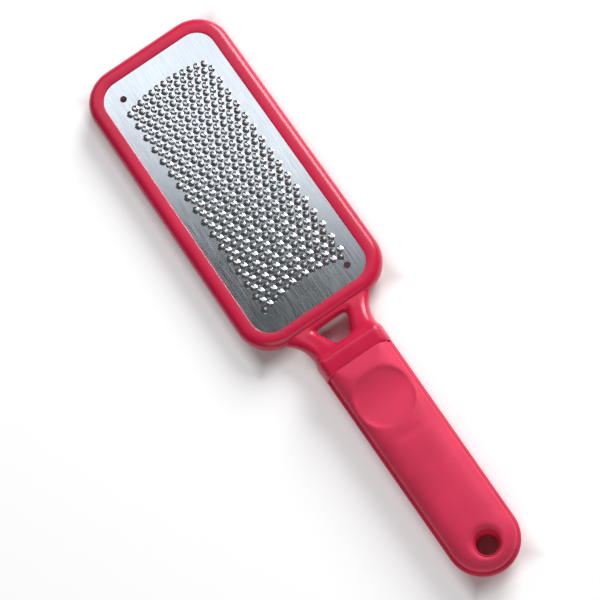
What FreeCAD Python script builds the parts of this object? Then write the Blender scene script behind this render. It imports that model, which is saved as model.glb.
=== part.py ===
import FreeCAD, Part
import math
import os
import re
import Sketcher

# Foot file: a pierced steel plate held in a plastic ring, on a handle with two soft pads.
# Frame in millimetres, the tool lying on its back: +Y runs from the handle's end to the head,
# +Z points out of the rasp face, and the origin is under the middle of the tool.

Vector = FreeCAD.Vector

# Driving sizes in millimetres, one cell of the sheet each
SIZES = {
    # Ring of the head
    "head_length": 136.9,
    "head_width": 64.0,
    "head_corner_radius": 15.0,
    "ring_back": 4.0,
    "ring_thickness": 7.0,
    "ring_width": 6.45,
    "ring_top_width": 6.95,
    "ring_bottom_width": 5.85,
    "ring_face_radius": 3.4,
    "ring_back_radius": 2.4,
    "opening_corner_radius": 8.0,
    "lip_height": 0.5,
    "lip_radius": 0.3,
    # Rasp plate
    "plate_thickness": 0.7,
    "plate_rim": 2.0,
    "seat_clearance": 0.05,
    "locating_hole_radius": 1.3,
    "locating_hole_side_inset": 8.25,
    "locating_hole_top_inset": 8.0,
    "locating_hole_bottom_inset": 6.6,
    # Teeth of the plate
    "tooth_column_pitch": 2.97,
    "tooth_row_pitch": 3.08,
    "tooth_row_sag": 3.0,
    "tooth_width": 2.2,
    "tooth_length": 1.5,
    "tooth_height": 0.55,
    "tooth_hole_length": 1.3,
    "tooth_hole_end_width": 1.4,
    "field_top_margin": 12.2,
    "field_bottom_margin": 13.1,
    "field_side_margin": 6.25,
    # Neck with its window
    "neck_length": 14.05,
    "neck_root_width": 40.0,
    "neck_leg_width": 32.7,
    "neck_waist_width": 28.0,
    "neck_tail_width": 28.4,
    "neck_leg_distance": 3.2,
    "neck_waist_distance": 8.5,
    "neck_root_bottom": 4.4,
    "neck_root_top": 9.6,
    "neck_tail_bottom": 1.4,
    "neck_tail_top": 15.0,
    "neck_corner_share": 0.4,
    "window_root_width": 14.9,
    "window_end_width": 6.2,
    "window_root_distance": 1.05,
    "window_length": 9.7,
    "window_corner_radius": 1.2,
    "window_edge_radius": 1.0,
    # Collar and core of the handle
    "collar_length": 6.7,
    "collar_width": 29.8,
    "collar_bottom": 0.4,
    "collar_top": 15.8,
    "collar_corner_radius": 5.6,
    "collar_edge_radius": 0.8,
    "core_bottom": 6.7,
    "core_thickness": 3.6,
    "core_edge_radius": 1.2,
    "grip_length": 95.4,
    "grip_start_width": 29.2,
    "grip_end_radius": 14.1,
    "hang_hole_radius": 4.2,
    "hang_hole_distance": 10.7,
    "boss_wall": 1.0,
    # Soft pads of the handle
    "bead_width": 1.6,
    "pad_gap": 0.3,
    "front_pad_height": 6.7,
    "pad_edge_radius": 5.2,
    "pad_end_edge_radius": 0.6,
    "boss_clearance": 0.1,
    "hole_flare": 2.4,
    "dish_radius": 11.0,
    "dish_depth": 1.3,
    "dish_distance": 18.8,
    "crease_distance": 35.4,
    "crease_depth": 0.25,
    "crease_radius": 5.0,
    # How far a cut runs past what it cuts
    "overrun": 2.0,
}

# Places and sizes that follow from the driving ones
DERIVED = {
    "head_top": "(head_length + neck_length + collar_length + grip_length) / 2",
    "head_bottom": "head_top - head_length",
    "crest": "head_bottom - neck_length",
    "grip_start": "crest - collar_length",
    "handle_end": "grip_start - grip_length",
    "opening_width": "head_width - 2 * ring_width",
    "opening_top": "head_top - ring_top_width",
    "opening_bottom": "head_bottom + ring_bottom_width",
    "ring_face": "ring_back + ring_thickness",
    "plate_top": "ring_face - lip_height",
    "plate_bottom": "plate_top - plate_thickness",
    "plate_width": "opening_width + 2 * plate_rim",
    "plate_end": "opening_top + plate_rim",
    "plate_start": "opening_bottom - plate_rim",
    "plate_corner_radius": "opening_corner_radius + plate_rim",
    "groove_bottom": "plate_bottom - seat_clearance",
    "groove_height": "plate_thickness + 2 * seat_clearance",
    "groove_width": "plate_width + 2 * seat_clearance",
    "groove_end": "plate_end + seat_clearance",
    "groove_start": "plate_start - seat_clearance",
    "groove_corner_radius": "plate_corner_radius + seat_clearance",
    "neck_root": "head_bottom + (ring_bottom_width - plate_rim) / 2",
    "neck_leg": "head_bottom - neck_leg_distance",
    "neck_waist": "head_bottom - neck_waist_distance",
    "neck_tail": "crest - collar_length / 2",
    "leg_share": "(neck_root - neck_leg) / (neck_root - neck_tail)",
    "neck_leg_bottom": "neck_root_bottom + leg_share * (neck_tail_bottom - neck_root_bottom)",
    "neck_leg_top": "neck_root_top + leg_share * (neck_tail_top - neck_root_top)",
    "waist_share": "(neck_root - neck_waist) / (neck_root - neck_tail)",
    "neck_waist_bottom": "neck_root_bottom + waist_share * (neck_tail_bottom - neck_root_bottom)",
    "neck_waist_top": "neck_root_top + waist_share * (neck_tail_top - neck_root_top)",
    "window_root": "head_bottom - window_root_distance",
    "window_end": "window_root - window_length",
    "core_top": "core_bottom + core_thickness",
    "core_start": "grip_start + collar_length / 2",
    "end_centre": "handle_end + grip_end_radius",
    "hole_centre": "handle_end + hang_hole_distance",
    "boss_radius": "hang_hole_radius + boss_wall",
    "grip_top": "core_top + front_pad_height",
    "boss_height": "grip_top - 2 * hole_flare",
    "pad_start": "grip_start - pad_gap",
    "pad_start_width": "grip_start_width - 2 * bead_width",
    "pad_end_radius": "grip_end_radius - bead_width",
    "pad_hole_radius": "boss_radius + boss_clearance",
    "pad_flare_radius": "pad_hole_radius + hole_flare",
    "dish_centre": "grip_start - dish_distance",
    "dish_ball_radius": "(dish_radius * dish_radius + dish_depth * dish_depth) / (2 * dish_depth)",
    "dish_ball_height": "grip_top - dish_depth + dish_ball_radius",
    "crease_centre": "grip_start - crease_distance",
    "crease_height": "grip_top - crease_depth + crease_radius",
}

# Points of a built shape that are closer than this are at one place
SAME_PLACE = 0.001

doc = FreeCAD.newDocument("FootFile")
sheet = doc.addObject("Spreadsheet::Sheet", "Sizes")


def fill_sheet():
    """Give each driving size and each derived place a named cell."""
    cells = {name: str(number) for name, number in SIZES.items()}
    cells.update((name, "=" + formula) for name, formula in DERIVED.items())
    for row, (name, text) in enumerate(cells.items(), 1):
        sheet.set(f"A{row}", name)
        sheet.set(f"B{row}", text)
        sheet.setAlias(f"B{row}", name)
    doc.recompute()


def linked(formula):
    """The formula with its cell names spelled so that any object can read them."""
    return re.sub(r"[a-z_]+", lambda word: "Sizes." + word[0], formula)


def size(formula):
    """The number that a formula of cell names gives."""
    return float(sheet.evalExpression(linked(formula)))


def bind(item, target, formula):
    """Tie one property of a document object to a formula of cell names."""
    item.setExpression(target, linked(formula))


def new_sketch(body, name, plane, offset=None):
    """A sketch on one of the body's own origin planes, raised along its normal by a formula."""
    sketch = body.newObject("Sketcher::SketchObject", name)
    support = next(item for item in body.Origin.OriginFeatures if item.Role == plane)
    sketch.AttachmentSupport = [(support, "")]
    sketch.MapMode = "FlatFace"
    if offset:
        bind(sketch, ".AttachmentOffset.Base.z", offset)
    return sketch


def hold(sketch, kind, ends, formula):
    """Add a measured constraint whose value follows a formula."""
    rule = Sketcher.Constraint(kind, *ends, size(formula))
    bind(sketch, f"Constraints[{sketch.addConstraint(rule)}]", formula)


def tie(sketch, geometry, point, place):
    """Hold a point of the sketch at a place given by two formulas."""
    for kind, axis, formula in zip(("DistanceX", "DistanceY"), (-2, -1), place):
        if formula == "0":
            sketch.addConstraint(Sketcher.Constraint("PointOnObject", geometry, point, axis))
        else:
            hold(sketch, kind, (-1, 1, geometry, point), formula)


def draw_polygon(sketch, corners):
    """A closed outline of straight lines through corners given by formulas."""
    points = [Vector(size(across), size(along), 0) for across, along in corners]
    for start, end in zip(points, points[1:] + points[:1]):
        sketch.addGeometry(Part.LineSegment(start, end))
    for index, corner in enumerate(corners):
        following = (index + 1) % len(corners)
        sketch.addConstraint(Sketcher.Constraint("Coincident", index, 2, following, 1))
        tie(sketch, index, 1, corner)


def draw_rectangle(sketch, width, low, high):
    """A rectangle that is centred across and runs from low to high."""
    left, right = f"-{width} / 2", f"{width} / 2"
    draw_polygon(sketch, [(left, low), (right, low), (right, high), (left, high)])


def rounded_corners(half, low, high, radius):
    """Each corner's arc of a rounded rectangle as three points, anticlockwise from lower left."""
    corners = []
    for quarter, (side, end) in enumerate(((-1, low), (1, low), (1, high), (-1, high)), 2):
        centre = Vector(side * (half - radius), end + radius if end == low else end - radius, 0)
        angles = [math.pi / 2 * (quarter + step) for step in (0, 1 / 2, 1)]
        corners.append([centre + Vector(math.cos(a), math.sin(a), 0) * radius for a in angles])
    return corners


def draw_rounded_rectangle(sketch, width, low, high, radius):
    """A rectangle with round corners that is centred across and runs from low to high."""
    corners = rounded_corners(size(width) / 2, size(low), size(high), size(radius))
    arcs = [sketch.addGeometry(Part.Arc(*corner)) for corner in corners]
    sides = []
    for corner, following in zip(corners, corners[1:] + corners[:1]):
        sides.append(sketch.addGeometry(Part.LineSegment(corner[2], following[0])))
    for index, side in enumerate(sides):
        following = arcs[(index + 1) % len(arcs)]
        sketch.addConstraint(Sketcher.Constraint("Tangent", arcs[index], 2, side, 1))
        sketch.addConstraint(Sketcher.Constraint("Tangent", side, 2, following, 1))
        sketch.addConstraint(Sketcher.Constraint("Vertical" if index % 2 else "Horizontal", side))
    for arc in arcs[1:]:
        sketch.addConstraint(Sketcher.Constraint("Equal", arcs[0], arc))
    hold(sketch, "Radius", (arcs[0],), radius)
    bottom, right, top, left = sides
    hold(sketch, "DistanceY", (-1, 1, bottom, 1), low)
    hold(sketch, "DistanceX", (-1, 1, right, 1), f"{width} / 2")
    hold(sketch, "DistanceY", (-1, 1, top, 1), high)
    hold(sketch, "DistanceX", (-1, 1, left, 1), f"-{width} / 2")


def draw_circle(sketch, along, radius):
    """A circle on the tool's middle line."""
    centre = Vector(0, size(along), 0)
    circle = sketch.addGeometry(Part.Circle(centre, Vector(0, 0, 1), size(radius)))
    tie(sketch, circle, 3, ("0", along))
    hold(sketch, "Radius", (circle,), radius)


def draw_grip(sketch, start, start_width, end_radius):
    """The handle's outline: square at the collar, with sides that draw in to a round end."""
    half, radius, centre = size(start_width) / 2, size(end_radius), size("end_centre")
    reach = size(start) - centre
    # The right side leaves its corner and touches the end's circle where the circle faces this way
    facing = math.atan2(reach, half) - math.acos(radius / math.hypot(half, reach))
    touch = Vector(radius * math.cos(facing), centre + radius * math.sin(facing), 0)
    corner = Vector(half, size(start), 0)
    left_touch, left_corner = Vector(-touch.x, touch.y, 0), Vector(-half, corner.y, 0)
    front = sketch.addGeometry(Part.LineSegment(left_corner, corner))
    right = sketch.addGeometry(Part.LineSegment(corner, touch))
    tip = sketch.addGeometry(Part.Arc(left_touch, Vector(0, centre - radius, 0), touch))
    left = sketch.addGeometry(Part.LineSegment(left_touch, left_corner))
    sketch.addConstraint(Sketcher.Constraint("Coincident", front, 2, right, 1))
    sketch.addConstraint(Sketcher.Constraint("Coincident", left, 2, front, 1))
    sketch.addConstraint(Sketcher.Constraint("Tangent", tip, 2, right, 2))
    sketch.addConstraint(Sketcher.Constraint("Tangent", tip, 1, left, 1))
    tie(sketch, front, 1, (f"-{start_width} / 2", start))
    tie(sketch, front, 2, (f"{start_width} / 2", start))
    tie(sketch, tip, 3, ("0", "end_centre"))
    hold(sketch, "Radius", (tip,), end_radius)


def pad(body, name, sketch, length):
    feature = body.newObject("PartDesign::Pad", name)
    feature.Profile = sketch
    bind(feature, "Length", length)
    doc.recompute()
    return feature


def check_cut(feature, before):
    """Stop if a cut has taken nothing away."""
    doc.recompute()
    if feature.Shape.Volume > before - SAME_PLACE:
        raise RuntimeError(f"{feature.Label} cuts nothing")
    return feature


def pocket(body, name, sketch, length, both_ways=False):
    """Cut the sketch's outline along its normal, or half the length to each side."""
    before = body.Shape.Volume
    feature = body.newObject("PartDesign::Pocket", name)
    feature.Profile = sketch
    feature.Midplane = both_ways
    feature.Reversed = not both_ways
    bind(feature, "Length", length)
    return check_cut(feature, before)


def edge_points(edge):
    """The start, the middle and the end of an edge."""
    first, last = edge.ParameterRange
    return [edge.valueAt(first), edge.valueAt((first + last) / 2), edge.valueAt(last)]


def lies(edge, axis, formula):
    """True where the whole edge lies at one place along an axis."""
    place = size(formula)
    return all(abs(getattr(point, axis) - place) < SAME_PLACE for point in edge_points(edge))


def upright(edge):
    """True where the edge stands straight up."""
    start, _, end = edge_points(edge)
    return math.hypot(start.x - end.x, start.y - end.y) < SAME_PLACE


def within(edge, width, low, high):
    """True where the whole edge lies in a rectangle about the middle line, rim included."""
    half, bottom, top = size(width) / 2 + SAME_PLACE, size(low) - SAME_PLACE, size(high) + SAME_PLACE
    return all(abs(point.x) < half and bottom < point.y < top for point in edge_points(edge))


def round_edges(body, name, radius, chosen):
    """Round the edges of the body so far that the test chooses."""
    base = body.Tip
    names = [f"Edge{number}" for number, edge in enumerate(base.Shape.Edges, 1) if chosen(edge)]
    if not names:
        raise RuntimeError(f"{name} finds no edge")
    feature = body.newObject("PartDesign::Fillet", name)
    feature.Base = (base, names)
    bind(feature, "Radius", radius)
    doc.recompute()
    return feature


def head_ring():
    """The ring: a rounded frame with an opening, and a groove round it for the plate's rim."""
    body = doc.addObject("PartDesign::Body", "head_ring")
    outline = new_sketch(body, "ring_outline", "XY_Plane", "ring_back")
    draw_rounded_rectangle(outline, "head_width", "head_bottom", "head_top", "head_corner_radius")
    pad(body, "ring_block", outline, "ring_thickness")
    round_edges(body, "ring_face_edge", "ring_face_radius", lambda edge: lies(edge, "z", "ring_face"))
    round_edges(body, "ring_back_edge", "ring_back_radius", lambda edge: lies(edge, "z", "ring_back"))

    opening = "opening_width", "opening_bottom", "opening_top"
    opening_outline = new_sketch(body, "opening_outline", "XY_Plane", "ring_back")
    draw_rounded_rectangle(opening_outline, *opening, "opening_corner_radius")
    pocket(body, "opening", opening_outline, "ring_thickness")
    round_edges(
        body, "opening_lip", "lip_radius",
        lambda edge: lies(edge, "z", "ring_face") and within(edge, *opening))

    groove_outline = new_sketch(body, "groove_outline", "XY_Plane", "groove_bottom")
    draw_rounded_rectangle(
        groove_outline, "groove_width", "groove_start", "groove_end", "groove_corner_radius")
    pocket(body, "plate_groove", groove_outline, "groove_height")
    return body


def neck():
    """Two legs round a window: rounded sections that draw in and rise from the ring to the collar."""
    body = doc.addObject("PartDesign::Body", "neck")
    sections = []
    for place in ("root", "leg", "waist", "tail"):
        section = new_sketch(body, f"neck_{place}_section", "XZ_Plane", f"-neck_{place}")
        bottom, top = f"neck_{place}_bottom", f"neck_{place}_top"
        draw_rounded_rectangle(
            section, f"neck_{place}_width", bottom, top, f"neck_corner_share * ({top} - {bottom})")
        sections.append(section)
    legs = body.newObject("PartDesign::AdditiveLoft", "legs")
    legs.Profile = sections[0]
    legs.Sections = sections[1:]
    doc.recompute()

    window = new_sketch(body, "window_outline", "XY_Plane")
    draw_polygon(window, [
        ("-window_root_width / 2", "window_root"),
        ("-window_end_width / 2", "window_end"),
        ("window_end_width / 2", "window_end"),
        ("window_root_width / 2", "window_root"),
    ])
    pocket(body, "window", window, "neck_tail_top")
    in_window = "window_root_width", "window_end", "window_root"
    round_edges(
        body, "window_corners", "window_corner_radius",
        lambda edge: upright(edge) and within(edge, *in_window))
    round_edges(
        body, "window_edges", "window_edge_radius",
        lambda edge: not upright(edge) and within(edge, *in_window))
    return body


def handle_core():
    """The collar and the flat core behind it, with a boss round the hanging hole."""
    body = doc.addObject("PartDesign::Body", "handle_core")
    section = new_sketch(body, "collar_section", "XZ_Plane", "-crest")
    draw_rectangle(section, "collar_width", "collar_bottom", "collar_top")
    pad(body, "collar", section, "collar_length")
    round_edges(
        body, "collar_corners", "collar_corner_radius",
        lambda edge: not lies(edge, "y", "crest") and not lies(edge, "y", "grip_start"))
    round_edges(body, "collar_edge", "collar_edge_radius", lambda edge: lies(edge, "y", "crest"))

    outline = new_sketch(body, "core_outline", "XY_Plane", "core_bottom")
    draw_grip(outline, "core_start", "grip_start_width", "grip_end_radius")
    pad(body, "core", outline, "core_thickness")
    round_edges(
        body, "core_bead", "core_edge_radius",
        lambda edge: (lies(edge, "z", "core_bottom") or lies(edge, "z", "core_top"))
        and within(edge, "collar_width", "handle_end", "grip_start") and not lies(edge, "y", "grip_start"))

    boss = new_sketch(body, "boss_outline", "XY_Plane", "hole_flare")
    draw_circle(boss, "hole_centre", "boss_radius")
    pad(body, "boss", boss, "boss_height")
    hole = new_sketch(body, "hang_hole_outline", "XY_Plane")
    draw_circle(hole, "hole_centre", "hang_hole_radius")
    pocket(body, "hang_hole", hole, "grip_top")
    return body


def grip_pad(name, base, height, face, outward):
    """A soft pad on one side of the core: rounded outside, with a flared hole round the boss."""
    body = doc.addObject("PartDesign::Body", name)
    outline = new_sketch(body, name + "_outline", "XY_Plane", base)
    draw_grip(outline, "pad_start", "pad_start_width", "pad_end_radius")
    pad(body, name + "_block", outline, height)
    round_edges(
        body, name + "_sides", "pad_edge_radius",
        lambda edge: lies(edge, "z", face) and not lies(edge, "y", "pad_start"))
    seat = "core_top" if outward == "+" else "core_bottom"
    round_edges(
        body, name + "_front", "pad_end_edge_radius",
        lambda edge: lies(edge, "y", "pad_start") and not lies(edge, "z", seat))

    hole = new_sketch(body, name + "_hole_outline", "XY_Plane", base)
    draw_circle(hole, "hole_centre", "pad_hole_radius")
    pocket(body, name + "_hole", hole, height)
    cut_flare(body, name + "_flare", face, outward)
    return body


def cut_flare(body, name, face, outward):
    """Open the pad's hole out into a cone at the pad's face."""
    inward = "-" if outward == "+" else "+"
    deep, past = f"{face} {inward} hole_flare", f"{face} {outward} overrun"
    outline = new_sketch(body, name + "_outline", "XZ_Plane", "-hole_centre")
    draw_polygon(outline, [
        ("hang_hole_radius", deep),
        ("pad_hole_radius", deep),
        ("pad_flare_radius", face),
        ("pad_flare_radius", past),
        ("hang_hole_radius", past),
    ])
    before = body.Shape.Volume
    flare = body.newObject("PartDesign::Groove", name)
    flare.Profile = outline
    flare.ReferenceAxis = (outline, ["V_Axis"])
    check_cut(flare, before)


def front_grip_pad():
    """The pad under the thumb, with a shallow round dish and a crease across it."""
    body = grip_pad("front_grip_pad", "core_top", "front_pad_height", "grip_top", "+")
    before = body.Shape.Volume
    dish = body.newObject("PartDesign::SubtractiveSphere", "thumb_dish")
    bind(dish, "Radius", "dish_ball_radius")
    bind(dish, ".Placement.Base.y", "dish_centre")
    bind(dish, ".Placement.Base.z", "dish_ball_height")
    check_cut(dish, before)

    before = body.Shape.Volume
    crease = body.newObject("PartDesign::SubtractiveCylinder", "crease")
    across = next(item for item in body.Origin.OriginFeatures if item.Role == "YZ_Plane")
    crease.AttachmentSupport = [(across, "")]
    crease.MapMode = "FlatFace"
    bind(crease, "Radius", "crease_radius")
    bind(crease, "Height", "collar_width")
    bind(crease, ".AttachmentOffset.Base.x", "crease_centre")
    bind(crease, ".AttachmentOffset.Base.y", "crease_height")
    bind(crease, ".AttachmentOffset.Base.z", "-collar_width / 2")
    check_cut(crease, before)
    return body


def tooth_places():
    """The middle of each tooth and the way its ramp falls: 1 to the head, -1 to the handle."""
    pitch, row_pitch, sag = size("tooth_column_pitch"), size("tooth_row_pitch"), size("tooth_row_sag")
    first_row = size("opening_top - field_top_margin")
    room_along = size("opening_top - opening_bottom - field_top_margin - field_bottom_margin")
    room_across = size("opening_width - 2 * field_side_margin - tooth_column_pitch / 2")
    rows = int(room_along / row_pitch) + 1
    columns = int(room_across / pitch) + 1
    # Rows are staggered by half a pitch, a quarter to each side of the middle line
    field_half = (columns - 1) / 2 * pitch + pitch / 4
    for row in range(rows):
        shift = pitch / 4 if row % 2 else -pitch / 4
        for column in range(columns):
            across = (column - (columns - 1) / 2) * pitch + shift
            along = first_row - row * row_pitch - sag * (across / field_half) ** 2
            yield Vector(across, along, 0), 1 if (row + column) % 2 else -1


def tooth_corners(middle, way):
    """A tooth's corners on the plate: its ramp's point, then round the hole from one end of its edge."""
    half, far_half = size("tooth_width / 2"), size("tooth_hole_end_width / 2")
    point = middle.y + way * size("(tooth_length + tooth_hole_length) / 2")
    edge = point - way * size("tooth_length")
    far = edge - way * size("tooth_hole_length")
    places = (0, point), (-half, edge), (-far_half, far), (far_half, far), (half, edge)
    return [Vector(middle.x + across, along, size("plate_top")) for across, along in places]


def flat_face(points):
    return Part.Face(Part.makePolygon(points + points[:1]))


def tooth_faces(corners):
    """A tooth's ramp, which is highest at the middle of its edge, and the walls of its hole."""
    point, left, far_left, far_right, right = corners
    low_left, low_far_left, low_far_right, low_right = lowered(corners[1:])
    tip = (left + right) / 2 + Vector(0, 0, size("tooth_height"))
    return [
        flat_face([point, left, tip]),
        flat_face([point, tip, right]),
        flat_face([left, low_left, low_right, right, tip]),
        flat_face([left, far_left, low_far_left, low_left]),
        flat_face([far_left, far_right, low_far_right, low_far_left]),
        flat_face([far_right, right, low_right, low_far_right]),
    ]


def lowered(points):
    """The points on the plate's back that lie under points on its top."""
    return [point - Vector(0, 0, size("plate_thickness")) for point in points]


def rasp_plate():
    """The pierced plate, sewn from its faces because its hundreds of teeth are too many to cut."""
    bottom, thickness = size("plate_bottom"), size("plate_thickness")
    rise = Vector(0, 0, thickness)
    corners = rounded_corners(
        size("plate_width / 2"), size("plate_start"), size("plate_end"), size("plate_corner_radius"))
    edges = []
    for corner, following in zip(corners, corners[1:] + corners[:1]):
        edges.append(Part.Arc(*corner).toShape())
        edges.append(Part.LineSegment(corner[2], following[0]).toShape())
    rims = [Part.Wire(edges)]
    hole_side = size("opening_width / 2 - locating_hole_side_inset")
    hole_places = [
        Vector(-hole_side, size("opening_top - locating_hole_top_inset"), 0),
        Vector(hole_side, size("opening_bottom + locating_hole_bottom_inset"), 0),
    ]
    for place in hole_places:
        rims.append(Part.Wire(Part.makeCircle(size("locating_hole_radius"), place)))
    for rim in rims:
        rim.translate(Vector(0, 0, bottom))

    tops = [rim.translated(rise) for rim in rims]
    bottoms = list(rims)
    faces = [face for rim in rims for face in rim.extrude(rise).Faces]
    # A tooth that would run into a locating hole is left out
    reach = size("locating_hole_radius + (tooth_length + tooth_hole_length) / 2")
    for middle, way in tooth_places():
        if any(middle.distanceToPoint(place) < reach for place in hole_places):
            continue
        tooth = tooth_corners(middle, way)
        hole = lowered(tooth[1:])
        tops.append(Part.makePolygon(tooth + tooth[:1]))
        bottoms.append(Part.makePolygon(hole + hole[:1]))
        faces.extend(tooth_faces(tooth))
    faces.append(Part.makeFace(tops, "Part::FaceMakerBullseye"))
    faces.append(Part.makeFace(bottoms, "Part::FaceMakerBullseye"))

    sewn = Part.makeCompound(faces)
    sewn.sewShape()
    solid = Part.Solid(sewn.Shells[0])
    if solid.Volume < 0:
        solid.reverse()
    plate = doc.addObject("Part::Feature", "rasp_plate")
    plate.Shape = solid
    return plate


def export(items):
    """Stop on anything that failed, then write one file for each sub-part."""
    doc.recompute()
    for item in doc.Objects:
        if {"Invalid", "Error"} & set(item.State):
            raise RuntimeError(f"{item.Label} failed: {item.State}")
    os.makedirs("parts", exist_ok=True)
    for item in items:
        if item.Shape.isNull() or not item.Shape.isValid():
            raise RuntimeError(f"{item.Label} has no valid shape")
        print(item.Label, len(item.Shape.Solids), round(item.Shape.Volume, 2), item.Shape.BoundBox)
        item.Shape.exportStep(f"parts/{item.Label}.step")


fill_sheet()
frame = doc.addObject("Part::MultiFuse", "head_frame")
frame.Shapes = [head_ring(), neck(), handle_core()]
back_pad = grip_pad("back_grip_pad", None, "core_bottom", "0", "-")
export([frame, rasp_plate(), front_grip_pad(), back_pad])
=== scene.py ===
import math

import bmesh
import bpy
from bpy.props import FloatProperty, FloatVectorProperty, IntProperty, PointerProperty
from bpy.types import Operator, Panel, PropertyGroup
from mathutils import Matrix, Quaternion, Vector


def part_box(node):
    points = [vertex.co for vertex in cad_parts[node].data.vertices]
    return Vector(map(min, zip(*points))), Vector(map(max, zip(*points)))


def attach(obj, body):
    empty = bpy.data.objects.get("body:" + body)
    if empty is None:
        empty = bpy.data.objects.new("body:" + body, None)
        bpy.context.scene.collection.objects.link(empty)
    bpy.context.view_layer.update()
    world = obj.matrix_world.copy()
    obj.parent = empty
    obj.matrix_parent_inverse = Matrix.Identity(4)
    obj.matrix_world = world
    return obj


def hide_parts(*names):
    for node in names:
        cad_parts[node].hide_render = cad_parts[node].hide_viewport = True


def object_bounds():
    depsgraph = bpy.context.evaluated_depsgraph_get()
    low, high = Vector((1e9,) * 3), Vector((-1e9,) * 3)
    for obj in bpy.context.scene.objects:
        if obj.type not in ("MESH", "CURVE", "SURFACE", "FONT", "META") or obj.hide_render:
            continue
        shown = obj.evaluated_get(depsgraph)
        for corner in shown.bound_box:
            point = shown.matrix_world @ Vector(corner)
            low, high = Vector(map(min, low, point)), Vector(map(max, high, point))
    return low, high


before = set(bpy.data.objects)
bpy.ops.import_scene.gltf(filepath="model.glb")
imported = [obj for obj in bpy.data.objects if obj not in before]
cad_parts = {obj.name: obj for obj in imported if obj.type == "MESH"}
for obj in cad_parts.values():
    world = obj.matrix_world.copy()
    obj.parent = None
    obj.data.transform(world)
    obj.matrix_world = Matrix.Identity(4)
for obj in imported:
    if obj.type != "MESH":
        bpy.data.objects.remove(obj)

bl_info = {
    "name": "Foot file",
    "version": (1, 0, 0),
    "blender": (4, 5, 0),
    "location": "3D View > Sidebar > Foot file",
    "description": "Models the finished surfaces of a foot file over its packed solids",
    "category": "Add Mesh",
}

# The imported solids' box, before any piece is added
SOLID_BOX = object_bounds()

# The tool lies along Y with its head at the high end, and its rasp face looks up
TOOL_TOP = SOLID_BOX[1].y
TOOL_END = SOLID_BOX[0].y
PLATE_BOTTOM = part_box("rasp_plate")[0].z
PAD_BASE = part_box("front_grip_pad")[0].z
GRIP_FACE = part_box("front_grip_pad")[1].z
GRIP_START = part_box("front_grip_pad")[1].y
BACK_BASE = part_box("back_grip_pad")[1].z

MM = 0.001
# Points nearer than this count as lying in the same plane
NEAR = 0.02 * MM
# Points nearer than this are merged
WELD = 0.001 * MM
# How far a cutter runs past what it cuts
OVERRUN = MM
# Length of a cutter that goes right through the tool
THROUGH = 60 * MM
# Length of the cutters for the plate's holes
PUNCH_LENGTH = 4 * MM


def length(name, description, millimetres):
    return FloatProperty(name=name, description=description, default=millimetres * MM, min=0.0, unit="LENGTH",
                         subtype="DISTANCE", precision=5)


def colour(name, description, value):
    return FloatVectorProperty(name=name, description=description, default=value, size=3, min=0.0, max=1.0,
                               subtype="COLOR")


def share(name, description, value):
    return FloatProperty(name=name, description=description, default=value, min=0.0, max=1.0,
                         subtype="FACTOR")


class FootFileHead(PropertyGroup):
    """Sizes of the ring and its plate."""
    head_length: length("Head length", "Length of the ring outside", 136.9)
    head_width: length("Head width", "Width of the ring outside", 64.0)
    corner: length("Corner radius", "Radius of the ring's outer corners", 15.0)
    ring_back: length("Ring back", "Height of the ring's back over the ground", 4.0)
    ring_face: length("Ring face", "Height of the ring's face over the ground", 11.0)
    ring_width: length("Ring width", "Width of the ring's sides", 6.45)
    ring_top: length("Ring top width", "Width of the ring's far end", 6.95)
    ring_bottom: length("Ring bottom width", "Width of the ring's end at the neck", 5.85)
    face_radius: length("Face rounding", "Rounding of the ring's outer face edge", 3.4)
    back_radius: length("Back rounding", "Rounding of the ring's outer back edge", 2.4)
    lip_radius: length("Lip rounding", "Rounding of the lip round the plate", 0.35)
    plate_top: length("Plate height", "Height of the plate's flat face over the ground", 10.5)
    plate_tuck: length("Plate tuck", "How far the plate's rim goes into the ring", 1.2)
    pin_hole: length("Locating hole", "Radius of the two locating holes", 1.4)
    pin_side: length("Locating hole offset", "Distance of the locating holes from the middle line", 17.3)
    pin_top: length("Top locating hole", "Distance from the head's end to the top locating hole", 14.95)
    pin_bottom: length("Bottom locating hole", "Distance from the ring's neck end to the bottom hole", 12.45)


class FootFileTeeth(PropertyGroup):
    """Sizes of the plate's teeth."""
    rows: IntProperty(name="Rows", description="Rows of teeth along the plate", default=33, min=1)
    columns: IntProperty(name="Columns", description="Teeth in each row", default=13, min=1)
    column_pitch: length("Column pitch", "Distance between teeth in a row", 2.97)
    row_pitch: length("Row pitch", "Distance between rows", 3.08)
    sag: length("Row sag", "How far a row's ends lie nearer the handle than its middle", 3.0)
    first_row: length("First row", "Distance from the head's end to the first row's middle", 19.15)
    width: length("Tooth width", "Width of a tooth at its cutting edge", 3.0)
    ramp: length("Ramp length", "Length of a tooth's ramp", 2.2)
    height: length("Tooth height", "Height of a tooth over the plate", 0.36)
    sheet: length("Tooth sheet", "Thickness of a tooth's raised sheet", 0.22)
    hole: length("Hole length", "Length of the hole before a tooth's cutting edge", 1.15)


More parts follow.
